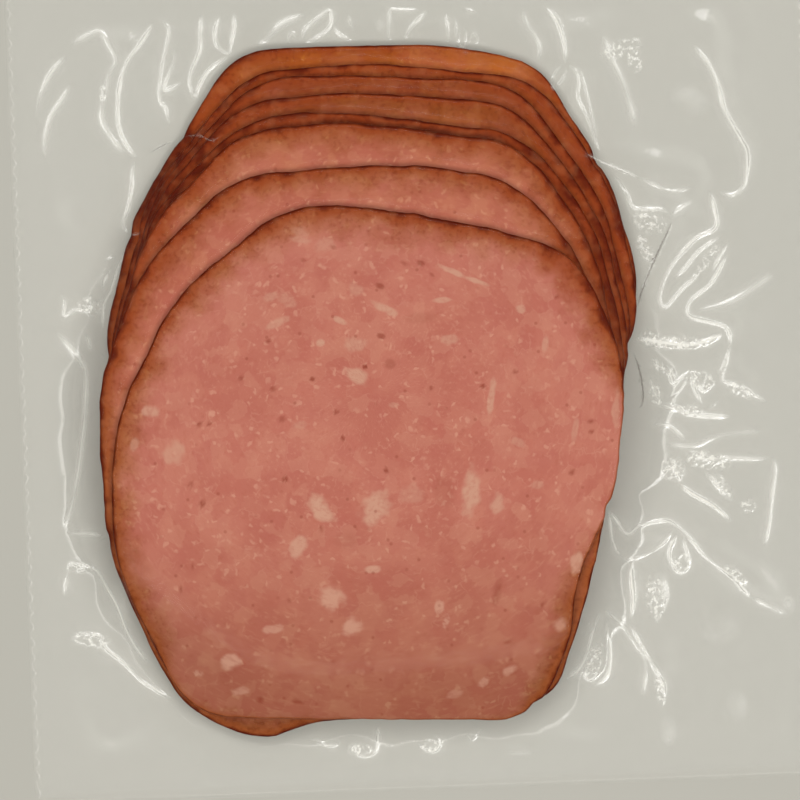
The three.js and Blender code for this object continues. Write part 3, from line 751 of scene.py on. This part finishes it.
def in_crumples(x, y):
    """1 inside the crumpled patches, fading to 0 outside."""
    crumple = np.zeros(len(x))
    for across, down, long, wide, turn in CRUMPLES:
        px, py = seen_at(across, down)
        c, s = math.cos(math.radians(turn) - SEEN_TURN), math.sin(math.radians(turn) - SEEN_TURN)
        along, over = (x - px) * c + (y - py) * s, (y - py) * c - (x - px) * s
        off = np.hypot(along / (long * PIXEL), over / (wide * PIXEL))
        crumple = np.maximum(crumple, smooth(off, 1.15, 0.6))
    return crumple


def film_creases(x, y, outside):
    """What the sharp creases and fine crumples add to it, the painted light there (white painted
    highlight, partly the film's whitening, above 0, and grey painted shade below 0), and how crumpled.
    """
    extra, whitening_and_painted_light, dark = np.zeros(len(x)), np.zeros(len(x)), np.zeros(len(x))
    for height, width, line in LINES:
        low, high = line.min(0) - CREASE_GLOW, line.max(0) + CREASE_GLOW
        near = np.flatnonzero((x > low[0]) & (x < high[0]) & (y > low[1]) & (y < high[1]))
        if not len(near):
            continue
        gap = np.hypot(x[near, None] - line[None, :, 0], y[near, None] - line[None, :, 1])
        closest = gap.argmin(1)
        steps = np.minimum(closest, len(line) - 1 - closest)
        fade = smooth(steps, -1, 8) * (0.92 + 0.65 * uneven(line, 5, 15))[closest]
        across = np.clip(1 - gap.min(1) / width, 0, 1)
        extra[near] = np.maximum(extra[near], 0.62 * abs(height) * fade * across**1.4)
        # Painted light along each crease: white painted highlight with a soft painted sheen round it, or grey
        # painted shade along the dark ones
        tone = dark if height < 0 else whitening_and_painted_light
        glowing = 0.3 if height > 0 and width > THINNEST_GLOWING else 0
        sheen = glowing * np.clip(1 - gap.min(1) / CREASE_GLOW, 0, 1) ** 1.6 * smooth(outside[near], 0, 2)
        tone[near] = np.maximum(tone[near], fade * (abs(height) / 0.45) ** 2 * across**2.2 + fade * sheen)
    crumple = in_crumples(x, y)
    fine = np.zeros(len(x))
    rough = np.flatnonzero(crumple > 0)
    places = np.stack([x[rough], y[rough]], 1)
    fine[rough] = 1 - np.abs(uneven(places, CRUMPLE_SIZE, 8)) * 2.6
    open_film = smooth(to_seal(x, y), -3, 1)
    patchy = 0.7 + 1.2 * uneven(np.stack([x, y], 1), 5, 31)
    # A painted ring of highlight round each dome's flank
    for dome in DOMES:
        whitening_and_painted_light = np.maximum(whitening_and_painted_light, 0.3 * smooth(off_dome(x, y, dome), 1.05, 0.35) * patchy)
    tone = np.where(dark > whitening_and_painted_light, -dark, whitening_and_painted_light)
    return (extra + CRUMPLE_HEIGHT * crumple * np.maximum(fine, 0)) * open_film, tone * open_film, crumple


def pouch_rim(step):
    """The pouch's rounded rectangle as points a step apart."""
    points = []
    x, y = POUCH_WIDTH / 2 - POUCH_CORNER, POUCH_LENGTH / 2 - POUCH_CORNER
    corners = [((x, y), 0), ((-x, y), 90), ((-x, -y), 180), ((x, -y), 270)]
    for i, ((cx, cy), start) in enumerate(corners):
        arc = [(cx + POUCH_CORNER * math.cos(math.radians(start + t)),
                cy + POUCH_CORNER * math.sin(math.radians(start + t))) for t in range(0, 91, 15)]
        (nx, ny), turn = corners[(i + 1) % 4]
        end = (nx + POUCH_CORNER * math.cos(math.radians(turn)), ny + POUCH_CORNER * math.sin(math.radians(turn)))
        points += arc
        count = int(math.dist(arc[-1], end) / step)
        points += [tuple(np.array(arc[-1]) + (np.array(end) - arc[-1]) * k / count) for k in range(1, count)]
    return np.array(points)


def lattice(step):
    """Points of a triangle net over the pouch."""
    rows = []
    right, upper = POUCH_WIDTH / 2 - EDGE_MARGIN, POUCH_LENGTH / 2 - EDGE_MARGIN
    for k, y in enumerate(np.arange(-POUCH_LENGTH / 2 + 1, upper, step * 0.866)):
        x = np.arange(-POUCH_WIDTH / 2 + 1, right, step) + (k % 2) * step / 2
        x = x[x < right]
        rows.append(np.stack([x, np.full(len(x), y)], 1))
    return np.concatenate(rows)


def rim_rows(offsets, step):
    """Rows of points along each slice's rim, wherever no higher slice covers it."""
    rows = []
    for index in range(8):
        angle = np.linspace(-math.pi, math.pi, int(360 / step), endpoint=False)
        edge = rim(index, angle)
        bare = np.ones(len(angle), bool)
        for above in range(index + 1, 8):
            bare &= edge > reach(above, angle) + 0.3
        for offset in offsets:
            spoke = np.stack([np.cos(angle), np.sin(angle)], 1)
            rows.append((CENTRE + spoke * (edge + offset)[:, None])[bare])
    return np.concatenate(rows)


def crease_rows():
    """Rows of points along each crease's crest and down its sides."""
    rows = []
    for _, width, line in LINES:
        tangent = np.gradient(line, axis=0)
        side = np.stack([-tangent[:, 1], tangent[:, 0]], 1) / np.linalg.norm(tangent, axis=1)[:, None]
        rows.append(line)
        for offset in (0.28, 0.6, 1.0):
            rows += [line + side * offset * width, line - side * offset * width]
    return np.concatenate(rows)


def thinned(points, taken, step):
    """The points that keep a step's distance from those taken before, by squares of that size."""
    kept = []
    for point in points:
        cell = (int(math.floor(point[0] / step)), int(math.floor(point[1] / step)))
        if cell not in taken:
            taken.add(cell)
            kept.append(point)
    return np.array(kept)


def squares(points):
    """The squares that points lie in, by number."""
    return {(int(math.floor(p[0] / ROOM)), int(math.floor(p[1] / ROOM))) for p in points}


def within(points, margin):
    """Those of the points that lie more than a margin inside the pouch's edge."""
    inside = np.abs(points) < np.array([POUCH_WIDTH / 2, POUCH_LENGTH / 2]) - margin
    return points[inside.all(1)]


def net(points):
    """Triangles between the points, facing up."""
    made = delaunay_2d_cdt([Vector(p) for p in points], [], [], 0, 1e-7)
    places = np.array([tuple(p) for p in made[0]])
    return places, [tuple(face) for face in made[2]]


def front_film():
    edge = pouch_rim(1.3)
    taken = set()
    sharp = thinned(crease_rows(), taken, CLOSEST)
    rims = thinned(rim_rows((-1.2, -0.5, -0.1, 0.3, 0.8, 1.5, 2.4), 1.1), taken, CLOSEST)
    fine = lattice(NET_SLACK)
    _, outside = film_base(fine[:, 0], fine[:, 1])
    slack = (outside > 0.4) & (to_seal(fine[:, 0], fine[:, 1]) > -1)
    finest = lattice(NET_CRUMPLED)
    finest = finest[in_crumples(finest[:, 0], finest[:, 1]) > 0.1]
    coarse = lattice(NET_CALM)
    _, off = film_base(coarse[:, 0], coarse[:, 1])
    calm = (off <= 0.4) | (to_seal(coarse[:, 0], coarse[:, 1]) <= -1)
    crowded = squares(np.concatenate([sharp, rims]))

    def roomy(points):
        cells = np.floor(points / ROOM).astype(int)
        return points[[(cx, cy) not in crowded for cx, cy in cells]]

    finest = thinned(finest, taken, CLOSEST)
    crowded |= squares(finest)
    inside = np.concatenate([sharp, rims, finest, roomy(fine[slack]), roomy(coarse[calm])])
    top, top_faces = net(np.concatenate([edge, within(inside, EDGE_MARGIN)]))
    base, outside = film_base(top[:, 0], top[:, 1])
    extra, whitening_and_painted_light, crumple = film_creases(top[:, 0], top[:, 1], outside)
    seal = smooth(to_seal(top[:, 0], top[:, 1]), -8.2, -7.2)
    top_height = (base + extra - FILM_WALL) * seal + (FILM_REST - FILM_WALL) * (1 - seal) + FILM_WALL
    under = thinned(np.concatenate([rim_rows((-0.6, 0.3, 1.5), 2.2), lattice(NET_UNDER)]), set(), 0.9)
    low, low_faces = net(np.concatenate([edge, within(under, 1)]))
    low_base, low_outside = film_base(low[:, 0], low[:, 1])
    points = np.concatenate([np.column_stack([top, top_height]), np.column_stack([low, low_base - FILM_WALL])])
    faces = list(top_faces) + [tuple(i + len(top) for i in face[::-1]) for face in low_faces]
    for i in range(len(edge)):
        j = (i + 1) % len(edge)
        faces.append((i, i + len(top), j + len(top), j))
    # It shines where it is slack or creased, and hardly where it clings to the ham or along its cut edge
    creased = smooth(np.append(extra, np.zeros(len(low))), 0.01, 0.06)
    cling = 1 - np.maximum(smooth(np.concatenate([outside, low_outside]), 1.0, 12.0), creased)
    places = np.concatenate([top, low])
    cling = np.maximum(cling, 0.85 * smooth(to_seal(places[:, 0], places[:, 1]), -6.4, -7.2))
    none, whole = np.zeros(len(low)), np.ones(len(low))
    traits = {"cling": cling, "inner": np.append(np.zeros(len(top)), whole), "crease": np.append(whitening_and_painted_light, none),
              "crumple": np.append(crumple, none)}
    return mesh_piece("front_sheet", points, faces, traits, clear_film("clear_film_front", 0.06, 1.7))


front_sheet = front_film()
front_sheet.visible_shadow = front_sheet.visible_diffuse = False
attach(front_sheet, "root")
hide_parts("front_film")

# --- Table, camera and light -------------------------------------------------------------------
# The pack lies on a pale, matt table top under two softboxes and a ring of soft light, and is seen
# from straight above.

TABLE_PALE = "C1BFB7"
TABLE_GREY = "BAB8AF"
TABLE_HALF = 6.0  # metres
TABLE_TOP = -0.0005
CAMERA_AT = (-0.00435, -0.00424, 0.5)
CAMERA_LENS = 102.27
RING_POWER = 2.17


def pale_table():
    """Matt laminate: plain, with a faint unevenness of tone."""
    material, tree = new_material("pale_matt_table")
    place = add(tree, "TexCoord").outputs["Object"]
    tone = add(tree, "TexNoise", {"Vector": place, "Scale": 6, "Detail": 2}).outputs["Fac"]
    colour = add(tree, "Mix", {0: tone, 6: linear(TABLE_GREY), 7: linear(TABLE_PALE)}, data_type="RGBA")
    shader = add(tree, "BsdfPrincipled", {"Base Color": colour.outputs[2], "Roughness": 0.75,
                                          "Specular IOR Level": 0.2})
    add(tree, "OutputMaterial", {"Surface": shader.outputs[0]})
    return material


table_mesh = bpy.data.meshes.new("table_top")
table_corners = [(x * TABLE_HALF, y * TABLE_HALF, TABLE_TOP) for x, y in ((-1, -1), (1, -1), (1, 1), (-1, 1))]
table_mesh.from_pydata(table_corners, [], [(0, 1, 2, 3)])
table_mesh.materials.append(pale_table())
table_top = bpy.data.objects.new("table_top", table_mesh)
bpy.context.collection.objects.link(table_top)

view = bpy.data.cameras.new("view")
view.sensor_width = 36
view.lens = CAMERA_LENS
camera = bpy.data.objects.new("view", view)
camera.location = CAMERA_AT
camera.rotation_euler = (0, 0, -SEEN_TURN)
bpy.context.collection.objects.link(camera)
bpy.context.scene.camera = camera

# Softboxes: place in metres, sides and power in watts
for name, at, size, power in (
    ("south_east_softbox", (0.40, -0.52, 0.85), (0.3, 0.3), 0.81),
    ("north_softbox", (0.10, 0.60, 0.80), (0.3, 0.3), 0.81),
):
    lamp = bpy.data.lights.new(name, "AREA")
    lamp.shape = "RECTANGLE"
    lamp.size, lamp.size_y = size
    lamp.energy = power
    softbox = bpy.data.objects.new(name, lamp)
    softbox.location = at
    softbox.rotation_euler = Vector(at).to_track_quat("Z", "Y").to_euler()
    bpy.context.collection.objects.link(softbox)

# A ring of soft light all round the pack, about 40 degrees off the upright, strongest from the south
world = bpy.data.worlds.new("ring_of_soft_light")
world.use_nodes = True
room = world.node_tree
room.nodes.clear()
looking = add(room, "TexCoord").outputs["Generated"]
way = add(room, "SeparateXYZ", {0: looking}).outputs
foot = add(room, "MapRange", {"Value": way[2], "From Min": 0.66, "From Max": 0.71}, interpolation_type="SMOOTHSTEP")
head = add(room, "MapRange", {"Value": way[2], "From Min": 0.88, "From Max": 0.82}, interpolation_type="SMOOTHSTEP")
ring = add(room, "Math", {0: foot.outputs[0], 1: head.outputs[0]}, operation="MULTIPLY").outputs[0]
south = add(room, "Math", {0: way[1], 1: -0.5, 2: 1.0}, operation="MULTIPLY_ADD").outputs[0]
ring = add(room, "Math", {0: ring, 1: south}, operation="MULTIPLY").outputs[0]
dome = add(room, "MapRange", {"Value": way[2], "From Min": 0.985, "From Max": 0.88, "To Min": 0.2, "To Max": 0.75},
           interpolation_type="SMOOTHSTEP")
dome = add(room, "Math", {0: dome.outputs[0], 1: foot.outputs[0], 2: 0.03}, operation="MULTIPLY_ADD").outputs[0]
bright = add(room, "Math", {0: ring, 1: RING_POWER, 2: dome}, operation="MULTIPLY_ADD").outputs[0]
glow = add(room, "Background", {"Color": linear("FBFAF6"), "Strength": bright})
add(room, "OutputWorld", {"Surface": glow.outputs[0]})
bpy.context.scene.world = world
bpy.context.scene.view_settings.view_transform = "Standard"
bpy.context.scene.cycles.transparent_max_bounces = 16
bpy.context.scene.cycles.max_bounces = 3
bpy.context.scene.cycles.diffuse_bounces = 2

bpy.context.view_layer.update()
